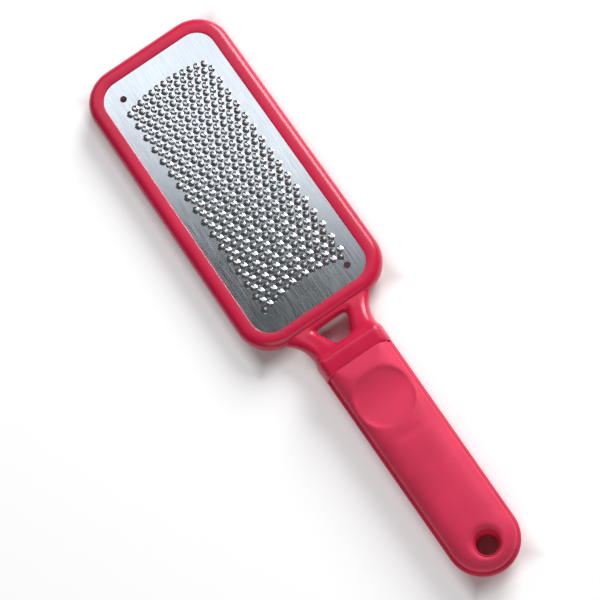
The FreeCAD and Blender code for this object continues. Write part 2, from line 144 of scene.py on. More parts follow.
class FootFileHandle(PropertyGroup):
    """Sizes of the neck, the collar and the grip."""
    window_root: length("Window root width", "Width of the neck's window at the ring", 14.9)
    window_end: length("Window end width", "Width of the neck's window at the collar", 6.2)
    window_length: length("Window length", "Length of the neck's window", 9.7)
    window_gap: length("Window gap", "Distance from the ring's outside to the window", 1.05)
    window_corner: length("Window corner", "Radius of the window's corners", 1.2)
    mouth_depth: length("Mouth depth", "Depth of the wider mouth over the window, and how far it widens", 3.0)
    mouth_height: length("Mouth height", "Height of the mouth's middle over the ground at the ring", 9.6)
    mouth_reach: length("Mouth reach", "How far the mouth's top runs past the window to the collar", 1.8)
    mouth_lift: length("Mouth lift", "How much deeper the mouth is at the collar than at the ring", 0.5)
    mouth_lean: length("Mouth lean", "How much higher the mouth lies at the collar than at the ring", 3.0)
    core_radius: length("Core end radius", "Radius of the rigid core's round end", 14.1)
    core_start_width: length("Core start width", "Width of the rigid core at the collar", 29.2)
    core_bevel: length("Core rounding", "Rounding of the core's edge", 1.2)
    core_tuck: length("Core tuck", "How far the core goes into the collar", 3.0)
    bead: length("Bead width", "Width of the core's edge that shows beside the pads", 1.3)
    front_drop: length("Front drop", "How much lower a pad is at the collar than along the handle", 1.2)
    front_slope: length("Front slope", "Length over which a pad rises from the collar", 7.0)
    pad_tuck: length("Pad tuck", "How far a pad's front goes under the collar", 0.5)
    hole_radius: length("Hanging hole", "Radius of the hanging hole", 4.2)
    hole_inset: length("Hole distance", "Distance from the handle's end to the hanging hole's middle", 10.7)
    boss_wall: length("Boss wall", "Wall of the core's boss round the hanging hole", 0.5)
    boss_gap: length("Boss gap", "Gap between the boss and the pads", 0.1)
    flare: length("Hole flare", "How far the hanging hole opens out at each end", 2.5)
    hole_drop: length("Hole drop", "Depth of the flare's rim under a pad's face", 0.8)
    pad_wall: length("Pad wall", "Height of a pad's upright side", 0.6)
    dish_inset: length("Dish distance", "Distance from the collar to the thumb dish's middle", 18.5)
    dish_depth: length("Dish depth", "Depth of the thumb dish", 2.8)
    dish_radius: length("Dish radius", "Radius of the thumb dish seen from above", 11.5)
    dish_curve: length("Dish curve", "Radius of the thumb dish's curve along the handle", 26.0)
    crease_inset: length("Crease distance", "Distance from the collar to the crease", 35.1)
    crease_radius: length("Crease radius", "Radius of the crease's groove", 6.0)
    crease_depth: length("Crease depth", "Depth of the crease under the pad's face", 0.3)


class FootFileFinish(PropertyGroup):
    """Colours and finishes."""
    gloss: colour("Glossy red", "Colour of the ring, neck, collar and core", (0.71, 0.014, 0.068))
    gloss_roughness: share("Gloss roughness", "Roughness of the glossy moulding", 0.3)
    grip: colour("Grip red", "Colour of the soft pads", (0.82, 0.042, 0.112))
    grip_roughness: share("Grip roughness", "Roughness of the soft pads", 0.56)
    steel: colour("Steel", "Colour of the rasp plate", (0.70, 0.73, 0.76))
    steel_roughness: share("Steel roughness", "Roughness of the rasp plate", 0.17)


class FootFileSettings(PropertyGroup):
    """All that a user would change on the foot file."""
    head: PointerProperty(type=FootFileHead)
    teeth: PointerProperty(type=FootFileTeeth)
    handle: PointerProperty(type=FootFileHandle)
    finish: PointerProperty(type=FootFileFinish)


def clear_selection():
    if bpy.context.mode != "OBJECT":
        bpy.ops.object.mode_set(mode="OBJECT")
    bpy.ops.object.select_all(action="DESELECT")


def open_piece(name):
    """Put the new primitive's place into its mesh and open it for editing, all of it selected."""
    piece = bpy.context.object
    piece.name = piece.data.name = name
    bpy.ops.object.transform_apply(location=True, rotation=True, scale=True)
    bpy.ops.object.mode_set(mode="EDIT")
    bpy.ops.mesh.select_all(action="SELECT")
    return piece


def select(piece, kind, test):
    """Select the vertices, edges or faces whose corners all pass the test."""
    bpy.ops.mesh.select_mode(type=kind)
    bpy.ops.mesh.select_all(action="DESELECT")
    mesh = bmesh.from_edit_mesh(piece.data)
    parts = {"VERT": mesh.verts, "EDGE": mesh.edges, "FACE": mesh.faces}[kind]
    found = 0
    for part in parts:
        corners = [part] if kind == "VERT" else part.verts
        if all(test(corner.co) for corner in corners):
            part.select_set(True)
            found += 1
    mesh.select_flush_mode()
    bmesh.update_edit_mesh(piece.data)
    if not found:
        raise RuntimeError(f"{piece.name}: nothing was selected")


def select_faces():
    bpy.ops.mesh.select_mode(type="FACE")
    bpy.ops.mesh.select_all(action="SELECT")


def stretch(factors, centre):
    bpy.ops.transform.resize(value=factors, center_override=centre)


def pull(vector):
    bpy.ops.mesh.extrude_region_move(TRANSFORM_OT_translate={"value": vector})


def bevel(offset, segments, affect="EDGES"):
    bpy.ops.mesh.bevel(offset=offset, offset_type="OFFSET", segments=segments, profile=0.5, affect=affect,
                       clamp_overlap=False)


def close_piece(piece):
    """Leave edit mode with the faces pointing outwards."""
    bpy.ops.mesh.select_mode(type="VERT")
    bpy.ops.mesh.select_all(action="SELECT")
    bpy.ops.mesh.remove_doubles(threshold=WELD)
    bpy.ops.mesh.normals_make_consistent(inside=False)
    bpy.ops.object.mode_set(mode="OBJECT")


def make_active(piece):
    clear_selection()
    piece.select_set(True)
    bpy.context.view_layer.objects.active = piece


def reopen_piece(piece):
    """Open a closed piece for editing again, all of it selected."""
    make_active(piece)
    bpy.ops.object.mode_set(mode="EDIT")
    bpy.ops.mesh.select_all(action="SELECT")


def join_pieces(piece, others):
    """Make the other pieces part of the piece's mesh."""
    make_active(piece)
    for other in others:
        other.select_set(True)
    bpy.ops.object.join()


def apply_modifiers(piece):
    make_active(piece)
    for modifier in list(piece.modifiers):
        bpy.ops.object.modifier_apply(modifier=modifier.name)


def combine(piece, tool, operation):
    """Cut the tool out of the piece, or add it, and take the tool away."""
    modifier = piece.modifiers.new("combine", "BOOLEAN")
    modifier.operation = operation
    modifier.solver = "EXACT"
    modifier.object = tool
    apply_modifiers(piece)
    bpy.data.objects.remove(tool)


def soften(piece, voxel, passes):
    """Remesh evenly and smooth, so that every edge gets a moulded rounding."""
    remesh = piece.modifiers.new("even mesh", "REMESH")
    remesh.mode = "VOXEL"
    remesh.voxel_size = voxel
    smooth = piece.modifiers.new("rounding", "SMOOTH")
    smooth.factor = 0.5
    smooth.iterations = passes
    apply_modifiers(piece)
    bpy.ops.object.shade_smooth()


def rounded_plate(name, width, low, high, corner, height):
    """A flat face with rounded corners, open for editing."""
    middle = (0, (low + high) / 2, height)
    bpy.ops.mesh.primitive_plane_add(size=1, location=middle)
    piece = open_piece(name)
    stretch((width, high - low, 1), middle)
    bevel(corner, 16, "VERTICES")
    return piece


def finish_piece(piece, node, material):
    piece.data.materials.clear()
    piece.data.materials.append(material)
    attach(piece, "root")
    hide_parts(node)


def outline_depth(head, point):
    """How far a point lies inside the head's rounded outline, seen from above."""
    across = abs(point.x) - (head.head_width / 2 - head.corner)
    along = abs(point.y - (TOOL_TOP - head.head_length / 2)) - (head.head_length / 2 - head.corner)
    beyond = math.hypot(max(across, 0), max(along, 0)) + min(max(across, along), 0)
    return head.corner - beyond


def new_material(name):
    """A new material with its shader and nodes, or only the material where there is one of this name."""
    material = bpy.data.materials.get(name)
    if material:
        return material, None, None
    material = bpy.data.materials.new(name)
    material.use_nodes = True
    tree = material.node_tree
    return material, tree.nodes["Principled BSDF"], tree


def noise(tree, coordinates, scale, detail, roughness=0.5):
    """A cloudy pattern, whose scale is in clouds to the metre."""
    node = tree.nodes.new("ShaderNodeTexNoise")
    node.inputs["Scale"].default_value = scale
    node.inputs["Detail"].default_value = detail
    node.inputs["Roughness"].default_value = roughness
    tree.links.new(coordinates, node.inputs["Vector"])
    return node.outputs["Fac"]


def spread(tree, factor, low, high):
    """Map a noise, which stays near its middle, onto a range."""
    node = tree.nodes.new("ShaderNodeMapRange")
    node.inputs["From Min"].default_value = 0.3
    node.inputs["From Max"].default_value = 0.7
    node.inputs["To Min"].default_value = low
    node.inputs["To Max"].default_value = high
    tree.links.new(factor, node.inputs["Value"])
    return node.outputs["Result"]


def mix(tree, factor, first, second):
    node = tree.nodes.new("ShaderNodeMix")
    node.data_type = "RGBA"
    tree.links.new(factor, node.inputs["Factor"])
    node.inputs[6].default_value = (*first, 1)
    node.inputs[7].default_value = (*second, 1)
    return node.outputs[2]


def tint(tree, factor, base, dark, light):
    """A colour that wanders between a darker and a lighter share of its base."""
    return mix(tree, factor, [dark * part for part in base], [min(1, light * part) for part in base])


def maths(tree, operation, first, second=None):
    """One step of arithmetic on a socket and a number or another socket."""
    node = tree.nodes.new("ShaderNodeMath")
    node.operation = operation
    tree.links.new(first, node.inputs[0])
    if isinstance(second, float):
        node.inputs[1].default_value = second
    elif second is not None:
        tree.links.new(second, node.inputs[1])
    return node.outputs[0]


def bump(tree, height, strength, distance, normal=None):
    node = tree.nodes.new("ShaderNodeBump")
    node.inputs["Strength"].default_value = strength
    node.inputs["Distance"].default_value = distance
    tree.links.new(height, node.inputs["Height"])
    if normal:
        tree.links.new(normal, node.inputs["Normal"])
    return node.outputs["Normal"]


def object_coordinates(tree, scale=(1, 1, 1)):
    place = tree.nodes.new("ShaderNodeTexCoord").outputs["Object"]
    if scale == (1, 1, 1):
        return place
    mapping = tree.nodes.new("ShaderNodeMapping")
    mapping.inputs["Scale"].default_value = scale
    tree.links.new(place, mapping.inputs["Vector"])
    return mapping.outputs["Vector"]


def glossy_moulding(finish):
    """Bright red plastic with the faint flow and orange peel of a moulding."""
    material, shader, tree = new_material("glossy_red_moulding")
    if not tree:
        return material
    place, mid = object_coordinates(tree), finish.gloss_roughness
    flow = spread(tree, noise(tree, place, scale=45, detail=3), 0, 1)
    grain = noise(tree, place, scale=260, detail=4)
    peel = noise(tree, place, scale=220, detail=0)
    for socket, source in (
        ("Base Color", tint(tree, flow, finish.gloss, dark=0.88, light=1.08)),
        ("Roughness", spread(tree, grain, mid - 0.02, mid + 0.02)),
        ("Normal", bump(tree, peel, strength=0.03, distance=0.04 * MM)),
    ):
        tree.links.new(source, shader.inputs[socket])
    shader.inputs["Coat Weight"].default_value = 0.14
    shader.inputs["Coat Roughness"].default_value = 0.2
    shader.inputs["Specular IOR Level"].default_value = 0.42
    return material


def satin_moulding(finish):
    """The same red plastic where it was left satin, on the core's edge beside the pads."""
    material, shader, tree = new_material("satin_red_moulding")
    if not tree:
        return material
    place = object_coordinates(tree)
    red = [(glossy + soft) / 2 for glossy, soft in zip(finish.gloss, finish.grip)]
    flow = spread(tree, noise(tree, place, scale=60, detail=3), 0, 1)
    grain = noise(tree, place, scale=700, detail=3)
    peel = noise(tree, place, scale=1600, detail=1)
    for socket, source in (
        ("Base Color", tint(tree, flow, red, dark=0.88, light=1.06)),
        ("Roughness", spread(tree, grain, 0.46, 0.58)),
        ("Normal", bump(tree, peel, strength=0.08, distance=0.03 * MM)),
    ):
        tree.links.new(source, shader.inputs[socket])
    shader.inputs["Specular IOR Level"].default_value = 0.35
    return material


def soft_touch(finish):
    """Matt red elastomer: fine stipple, faint clouding and a soft sheen."""
    material, shader, tree = new_material("soft_touch_red")
    if not tree:
        return material
    place, mid = object_coordinates(tree), finish.grip_roughness
    cloud = spread(tree, noise(tree, place, scale=70, detail=4), 0, 1)
    grain = noise(tree, place, scale=900, detail=3)
    dots = noise(tree, place, scale=5200, detail=2, roughness=0.6)
    waves = noise(tree, place, scale=160, detail=2)
    stipple = bump(tree, dots, strength=0.25, distance=0.05 * MM)
    for socket, source in (
        ("Base Color", tint(tree, cloud, finish.grip, dark=0.9, light=1.06)),
        ("Roughness", spread(tree, grain, mid - 0.05, mid + 0.07)),
        ("Normal", bump(tree, waves, strength=0.12, distance=0.12 * MM, normal=stipple)),
    ):
        tree.links.new(source, shader.inputs[socket])
    shader.inputs["Specular IOR Level"].default_value = 0.3
    shader.inputs["Sheen Weight"].default_value = 0.08
    shader.inputs["Sheen Roughness"].default_value = 0.4
    shader.inputs["Sheen Tint"].default_value = (1.0, 0.4, 0.5, 1.0)
    return material


def rolled_steel(finish):
    """Bright stainless sheet with the fine lines of rolling and faint smears."""
    material, shader, tree = new_material("rolled_stainless")
    if not tree:
        return material
    mid = finish.steel_roughness
    lines = noise(tree, object_coordinates(tree, (2600, 90, 400)), scale=1, detail=4, roughness=0.6)
    smears = spread(tree, noise(tree, object_coordinates(tree), scale=55, detail=3), 0, 1)
    for socket, source in (
        ("Base Color", tint(tree, smears, finish.steel, dark=0.93, light=1.03)),
        ("Roughness", spread(tree, lines, mid - 0.05, mid + 0.07)),
        ("Normal", bump(tree, lines, strength=0.05, distance=0.02 * MM)),
    ):
        tree.links.new(source, shader.inputs[socket])
    shader.inputs["Metallic"].default_value = 1.0
    return material


class FOOTFILE_OT_head_ring(Operator):
    """Model the glossy ring round the plate: a rounded frame with soft outer edges and a crisp lip"""
    bl_idname = "foot_file.head_ring"
    bl_label = "Head ring"

    def execute(self, context):
        settings = context.scene.foot_file
        head = settings.head
        low = TOOL_TOP - head.head_length
        clear_selection()
        ring = rounded_plate("head_ring", head.head_width, low, TOOL_TOP, head.corner, head.ring_face)
        select_faces()
        bpy.ops.mesh.inset(thickness=head.ring_width, depth=0, use_even_offset=True)
        bpy.ops.mesh.delete(type="FACE")
        deep = head.ring_width / 2
        middle = (low + TOOL_TOP) / 2
        select(ring, "VERT", lambda p: outline_depth(head, p) > deep and p.y > middle)
        bpy.ops.transform.translate(value=(0, head.ring_width - head.ring_top, 0))
        select(ring, "VERT", lambda p: outline_depth(head, p) > deep and p.y < middle)
        bpy.ops.transform.translate(value=(0, head.ring_bottom - head.ring_width, 0))
        select_faces()
        pull((0, 0, head.ring_back - head.ring_face))
        for height, inner, radius, steps in (
            (head.ring_face, False, head.face_radius, 9),
            (head.ring_back, False, head.back_radius, 7),
            (head.ring_face, True, head.lip_radius, 3),
            (head.ring_back, True, head.lip_radius, 3),
        ):
            select(ring, "EDGE", lambda p: abs(p.z - height) < NEAR
                   and (outline_depth(head, p) > deep if inner else outline_depth(head, p) < NEAR))
            bevel(radius, steps)
        close_piece(ring)
        bpy.ops.object.shade_smooth_by_angle(angle=math.radians(40))
        finish_piece(ring, "head_frame", glossy_moulding(settings.finish))
        return {"FINISHED"}


class FOOTFILE_OT_neck(Operator):
    """Model the neck's two legs, the saddle above them and the collar as one flowing moulding"""
    bl_idname = "foot_file.neck"
    bl_label = "Neck and collar"

    # Distance from the ring's outside towards the handle, width, bottom and top of each section, in mm
    SECTIONS = (
        (-2.4, 41.2, 4.6, 9.6),
        (-0.6, 40.0, 4.4, 9.8),
        (0.6, 38.2, 4.2, 10.0),
        (1.8, 35.8, 4.0, 10.3),
        (3.2, 33.3, 3.7, 10.7),
        (5.0, 31.1, 3.3, 11.3),
        (7.2, 29.4, 2.8, 12.0),
        (9.6, 28.4, 2.2, 12.9),
        (11.4, 28.2, 1.8, 13.6),
        (12.8, 28.4, 1.4, 14.4),
        (13.9, 29.1, 1.0, 15.4),
        (14.6, 29.6, 0.5, 15.95),
        (15.6, 29.8, 0.3, 16.2),
        (17.4, 29.7, 0.3, 16.15),
        (19.8, 29.6, 0.3, 16.0),
        (21.3, 29.5, 0.35, 15.9),
        (21.6, 29.2, 0.6, 15.65),
    )
    # How narrow a section is while its corners are rounded, and the rounding's share of its height
    NARROW_SHARE = 0.45
    CORNER_SHARE = 0.45
    # Spacing of the even mesh, and how often it is smoothed
    MESH_STEP = 0.34 * MM
    PASSES = 26
    # The legs' further rounding: its weight and the distances from the ring's outside, in mm, where it holds
    LEG_WEIGHTS = ((0.4, -0.6, 12.6), (0.7, 0.0, 12.0), (1.0, 0.4, 11.4))
    LEG_PASSES = 110

    def execute(self, context):
        settings = context.scene.foot_file
        handle = settings.handle
        ring_end = TOOL_TOP - settings.head.head_length
        sections = [tuple(size * MM for size in section) for section in self.SECTIONS]
        distance, width, bottom, top = sections[0]
        centre = (0, ring_end - distance, (bottom + top) / 2)
        clear_selection()
        bpy.ops.mesh.primitive_plane_add(size=1, location=centre, rotation=(math.radians(90), 0, 0))
        neck = open_piece("neck_and_collar")
        # The corners are rounded while the section is narrow, so that they come out broader than high
        stretch((self.NARROW_SHARE * width, 1, top - bottom), centre)
        bevel(self.CORNER_SHARE * (top - bottom), 8, "VERTICES")
        bpy.ops.mesh.select_all(action="SELECT")
        stretch((1 / self.NARROW_SHARE, 1, 1), centre)
        select_faces()
        for further, new_width, new_bottom, new_top in sections[1:]:
            rise = (new_bottom + new_top - bottom - top) / 2
            pull((0, distance - further, rise))
            centre = (0, ring_end - further, (new_bottom + new_top) / 2)
            stretch((new_width / width, 1, (new_top - new_bottom) / (top - bottom)), centre)
            distance, width, bottom, top = further, new_width, new_bottom, new_top
        close_piece(neck)

        near = ring_end - handle.window_gap
        middle, far = near - handle.window_length / 2, near - handle.window_length
        taper = handle.window_end / handle.window_root
        clear_selection()
        bpy.ops.mesh.primitive_cube_add(size=1, location=(0, middle, 0))
        window = open_piece("window_tool")
        stretch((handle.window_root, handle.window_length, THROUGH), (0, middle, 0))
        select(window, "VERT", lambda p: p.y < middle)
        stretch((taper, 1, 1), (0, far, 0))
        # Only the upright edges are rounded
        select(window, "EDGE", lambda p: True)
        mesh = bmesh.from_edit_mesh(window.data)
        for edge in mesh.edges:
            edge.select_set(abs(edge.verts[0].co.z - edge.verts[1].co.z) > NEAR)
        bmesh.update_edit_mesh(window.data)
        bevel(handle.window_corner, 5)
        close_piece(window)
        combine(neck, window, "DIFFERENCE")

        # A wider mouth over the window leans with the legs, so that their inner edges roll down into it
        centre = (0, middle, handle.mouth_height)
        clear_selection()
        bpy.ops.mesh.primitive_cube_add(size=1, location=centre)
        mouth = open_piece("mouth_tool")
        stretch((handle.window_root, handle.window_length, handle.mouth_depth), centre)
        select(mouth, "VERT", lambda p: p.y < middle)
        stretch((taper, 1, 1), centre)
        for side in (1, -1):
            select(mouth, "VERT", lambda p: side * p.x > 0 and p.z > handle.mouth_height)
            bpy.ops.transform.translate(value=(side * handle.mouth_depth, 0, 0))
        select(mouth, "VERT", lambda p: p.y < middle and p.z > handle.mouth_height)
        bpy.ops.transform.translate(value=(0, -handle.mouth_reach, handle.mouth_lift))
        select(mouth, "VERT", lambda p: p.y < middle)
        bpy.ops.transform.translate(value=(0, 0, handle.mouth_lean))
        close_piece(mouth)
        combine(neck, mouth, "DIFFERENCE")
        soften(neck, self.MESH_STEP, self.PASSES)

        # The legs are worked rounder than the collar
        neck.vertex_groups.new(name="legs")
        bpy.ops.object.mode_set(mode="EDIT")
        for weight, start, end in self.LEG_WEIGHTS:
            select(neck, "VERT", lambda p: start * MM < ring_end - p.y < end * MM)
            context.tool_settings.vertex_group_weight = weight
            bpy.ops.object.vertex_group_assign()
        close_piece(neck)
        rounding = neck.modifiers.new("round legs", "SMOOTH")
        rounding.vertex_group = "legs"
        rounding.iterations = self.LEG_PASSES
        apply_modifiers(neck)
        finish_piece(neck, "head_frame", glossy_moulding(settings.finish))
        return {"FINISHED"}


def handle_block(name, radius, start_width, start, low, high):
    """A block of the handle's outline: half a cylinder whose flat side is drawn out to the collar."""
    centre = TOOL_END + bpy.context.scene.foot_file.handle.core_radius
    clear_selection()
    bpy.ops.mesh.primitive_cylinder_add(vertices=96, radius=radius, depth=high - low,
                                        location=(0, centre, (low + high) / 2))
    block = open_piece(name)
    bpy.ops.mesh.bisect(plane_co=(0, centre, 0), plane_no=(0, 1, 0), use_fill=True, clear_outer=True)
    bpy.ops.mesh.select_all(action="SELECT")
    bpy.ops.mesh.remove_doubles(threshold=WELD)
    select(block, "FACE", lambda p: abs(p.y - centre) < NEAR)
    pull((0, start - centre, 0))
    stretch((start_width / 2 / radius, 1, 1), (0, start, 0))
    return block


def hole_tool(radius, low, high, flare):
    """A cutter for the hanging hole that opens out in a quarter round at its top."""
    handle = bpy.context.scene.foot_file.handle
    centre = TOOL_END + handle.hole_inset
    throat = high - flare
    clear_selection()
    bpy.ops.mesh.primitive_cylinder_add(vertices=64, radius=radius, depth=throat - low,
                                        location=(0, centre, (low + throat) / 2))
    tool = open_piece("hole_tool")
    select(tool, "FACE", lambda p: abs(p.z - throat) < NEAR)
    wide, height, steps = radius, throat, 8
    for step in range(1, steps + 1):
        angle = math.radians(90 * step / steps)
        new_wide = radius + flare * (1 - math.cos(angle))
        new_height = throat + flare * math.sin(angle)
        pull((0, 0, new_height - height))
        stretch((new_wide / wide, new_wide / wide, 1), (0, centre, new_height))
        wide, height = new_wide, new_height
    pull((0, 0, flare))
    close_piece(tool)
    return tool


def boss_drop():
    """How far the boss ends under a pad's face, so that the hole's flare runs on from it into the pad."""
    handle = bpy.context.scene.foot_file.handle
    # The flare takes all but a narrow rim of the boss's end
    flared_share = 0.9
    angle = math.acos(1 - flared_share * handle.boss_wall / handle.flare)
    return handle.hole_drop + handle.flare * (1 - math.sin(angle))


class FOOTFILE_OT_core(Operator):
    """Model the rigid core, whose edge shows as a bead round the grip, with the boss of the hanging hole"""
    bl_idname = "foot_file.core"
    bl_label = "Handle core"

    def execute(self, context):
        settings = context.scene.foot_file
        handle = settings.handle
        core = handle_block("handle_core", handle.core_radius, handle.core_start_width,
                            GRIP_START + handle.core_tuck, BACK_BASE, PAD_BASE)
        close_piece(core)
        hole_middle = TOOL_END + handle.hole_inset
        boss_low, boss_high = boss_drop(), GRIP_FACE - boss_drop()
        clear_selection()
        bpy.ops.mesh.primitive_cylinder_add(vertices=80, radius=handle.hole_radius + handle.boss_wall,
                                            depth=boss_high - boss_low,
                                            location=(0, hole_middle, (boss_low + boss_high) / 2))
        boss = open_piece("boss")
        close_piece(boss)
        combine(core, boss, "UNION")
        for way in (1, -1):
            bore = hole_tool(handle.hole_radius, GRIP_FACE / 2 - OVERRUN, GRIP_FACE - handle.hole_drop,
                             handle.flare)
            reopen_piece(bore)
            stretch((1, 1, way), (0, 0, GRIP_FACE / 2))
            close_piece(bore)
            combine(core, bore, "DIFFERENCE")
        reopen_piece(core)
        clear_of_boss = handle.hole_radius + handle.boss_wall + OVERRUN
        for height in (PAD_BASE, BACK_BASE):
            select(core, "EDGE", lambda p: abs(p.z - height) < NEAR
                   and math.hypot(p.x, p.y - hole_middle) > clear_of_boss)
            bevel(handle.core_bevel, 5)
        close_piece(core)
        bpy.ops.object.shade_smooth_by_angle(angle=math.radians(35))
        finish_piece(core, "head_frame", satin_moulding(settings.finish))
        return {"FINISHED"}


def crowned_pad(name, base, face):
    """A soft pad, crowned like a bar of soap, that is cut square and slopes down at the collar."""
    handle = bpy.context.scene.foot_file.handle
    radius = handle.core_radius - handle.bead
    start_width = handle.core_start_width - 2 * handle.bead
    wall = base + handle.pad_wall
    start = GRIP_START + handle.pad_tuck
    pad = handle_block(name, radius, start_width, GRIP_START + radius + handle.pad_tuck, base, wall)
    select(pad, "FACE", lambda p: abs(p.z - wall) < NEAR)
    # A fullness of 2 would be an ellipse, and a higher one comes nearer to a box
    fullness, steps = 2.7, 15
    depth, height = 0.0, 0.0
    for step in range(1, steps):
        angle = math.radians(90 * step / steps)
        new_depth = radius * (1 - math.cos(angle) ** (2 / fullness))
        new_height = (face - wall) * math.sin(angle) ** (2 / fullness)
        bpy.ops.mesh.inset(thickness=new_depth - depth, depth=new_height - height, use_even_offset=True)
        depth, height = new_depth, new_height
    bpy.ops.mesh.select_mode(type="VERT")
    bpy.ops.mesh.select_all(action="SELECT")
    bpy.ops.mesh.bisect(plane_co=(0, start, 0), plane_no=(0, 1, 0), use_fill=True, clear_outer=True)
    bpy.ops.mesh.select_all(action="SELECT")
    lean = math.atan2(handle.front_drop, handle.front_slope)
    bpy.ops.mesh.bisect(plane_co=(0, GRIP_START, face - handle.front_drop),
                        plane_no=(0, math.sin(lean), math.cos(lean)), use_fill=True, clear_outer=True,
                        threshold=10 * WELD)
    close_piece(pad)
    return pad


def bore_pad(pad, face):
    """Cut the flare of the hanging hole and the room for the boss into a pad."""
    handle = bpy.context.scene.foot_file.handle
    rim = face - handle.hole_drop
    room = handle.hole_radius + handle.boss_wall + handle.boss_gap
    for radius, flare in ((handle.hole_radius, handle.flare), (room, handle.boss_gap)):
        combine(pad, hole_tool(radius, PAD_BASE - OVERRUN, rim, flare), "DIFFERENCE")


class FOOTFILE_OT_grip(Operator):
    """Model the two soft pads: one with a thumb dish and a crease in front, and its plain twin behind"""
    bl_idname = "foot_file.grip"
    bl_label = "Soft grip"

    # How many times as wide as long the dish's curve is
    DISH_STRETCH = 3.2
    # Spacing of the even mesh, and how often each pad is smoothed
    MESH_STEP = 0.4 * MM
    FRONT_PASSES = 28
    BACK_PASSES = 8

    def execute(self, context):
        settings = context.scene.foot_file
        handle = settings.handle
        material = soft_touch(settings.finish)

        front = crowned_pad("front_grip", PAD_BASE, GRIP_FACE)
        bore_pad(front, GRIP_FACE)
        dish = GRIP_START - handle.dish_inset
        clear_selection()
        bpy.ops.mesh.primitive_uv_sphere_add(
            segments=96, ring_count=64, radius=handle.dish_curve,
            location=(0, dish, GRIP_FACE - handle.dish_depth + handle.dish_curve))
        tool = open_piece("dish_tool")
        stretch((self.DISH_STRETCH, 1, 1), (0, dish, 0))
        close_piece(tool)
        clear_selection()
        bpy.ops.mesh.primitive_cylinder_add(vertices=96, radius=handle.dish_radius, depth=THROUGH,
                                            location=(0, dish, GRIP_FACE))
        limit = open_piece("dish_limit")
        close_piece(limit)
        combine(tool, limit, "INTERSECT")
        combine(front, tool, "DIFFERENCE")
        clear_selection()
        bpy.ops.mesh.primitive_cylinder_add(
            vertices=96, radius=handle.crease_radius, depth=THROUGH, rotation=(0, math.radians(90), 0),
            location=(0, GRIP_START - handle.crease_inset,
                      GRIP_FACE + handle.crease_radius - handle.crease_depth))
        crease = open_piece("crease_tool")
        close_piece(crease)
        combine(front, crease, "DIFFERENCE")
        soften(front, self.MESH_STEP, self.FRONT_PASSES)
        finish_piece(front, "front_grip_pad", material)

        back = crowned_pad("back_grip", PAD_BASE, PAD_BASE + BACK_BASE)
        bore_pad(back, PAD_BASE + BACK_BASE)
        reopen_piece(back)
        stretch((1, 1, -1), (0, 0, (BACK_BASE + PAD_BASE) / 2))
        close_piece(back)
        soften(back, self.MESH_STEP, self.BACK_PASSES)
        finish_piece(back, "back_grip_pad", material)
        return {"FINISHED"}


def tooth_places(teeth):
    """The middle of each tooth and the way its ramp falls: 1 to the head, -1 to the handle."""
    # Every second row is shifted by half a pitch, a quarter to each side of the middle line
    quarter = 0.25
    half = (teeth.columns - 1) / 2
    reach = (half + quarter) * teeth.column_pitch
    for row in range(teeth.rows):
        shift = quarter if row % 2 else -quarter
        for column in range(teeth.columns):
            across = (column - half + shift) * teeth.column_pitch
            along = TOOL_TOP - teeth.first_row - row * teeth.row_pitch - teeth.sag * (across / reach) ** 2
            yield across, along, 1 if (row + column) % 2 else -1


def tooth_model(teeth):
    """One raised scoop with its mouth at the origin and its ramp running down along Y."""
    # A flattened ball is sunk by this share, so that its rim meets the plate at a slant, and rooted in it
    sunk, root = 0.6, 0.1 * MM
    rim = math.sqrt(1 - sunk ** 2)
    high = teeth.height / (1 - sunk)
    clear_selection()
    bpy.ops.mesh.primitive_uv_sphere_add(segments=12, ring_count=12, radius=1, location=(0, 0, 0))
    tooth = open_piece("tooth")
    stretch((teeth.width / 2 / rim, teeth.ramp / rim, high), (0, 0, 0))
    bpy.ops.transform.translate(value=(0, 0, -sunk * high))
    bpy.ops.mesh.bisect(plane_co=(0, 0, -root), plane_no=(0, 0, 1), clear_inner=True, threshold=WELD)
    bpy.ops.mesh.select_all(action="SELECT")
    bpy.ops.mesh.bisect(plane_co=(0, 0, 0), plane_no=(0, 1, 0), clear_inner=True, threshold=WELD)
    close_piece(tooth)
    sheet = tooth.modifiers.new("sheet", "SOLIDIFY")
    sheet.thickness = teeth.sheet
    sheet.offset = -1
    apply_modifiers(tooth)
    bpy.ops.object.shade_smooth_by_angle(angle=math.radians(50))
    return tooth


def hole_model(teeth):
    """The cutter for one tooth's hole: a D whose flat side lies just under the scoop's mouth."""
    # The hole is narrower than its tooth, so that the holes stay apart
    width_share, under = 0.68, 0.4 * MM
    clear_selection()
    bpy.ops.mesh.primitive_cylinder_add(vertices=14, radius=teeth.width / 2, depth=PUNCH_LENGTH)
    tool = open_piece("tooth_hole")
    stretch((width_share, (teeth.hole + under) / (teeth.width / 2), 1), (0, 0, 0))
    bpy.ops.mesh.bisect(plane_co=(0, 0, 0), plane_no=(0, 1, 0), use_fill=True, clear_outer=True)
    bpy.ops.mesh.select_all(action="SELECT")
    bpy.ops.transform.translate(value=(0, under, 0))
    close_piece(tool)
    return tool


def repeat(model, places, name):
    """Copy a model to each place, turned half round where its way is back, and join the copies."""
    copies = []
    for across, along, height, way in places:
        make_active(model)
        bpy.ops.object.duplicate(linked=False)
        copy = bpy.context.object
        copy.location = (across, along, height)
        copy.rotation_euler = (0, 0, 0 if way > 0 else math.pi)
        copies.append(copy)
    bpy.data.objects.remove(model)
    joined = copies[0]
    join_pieces(joined, copies[1:])
    bpy.ops.object.transform_apply(location=True, rotation=True, scale=True)
    joined.name = joined.data.name = name
    return joined


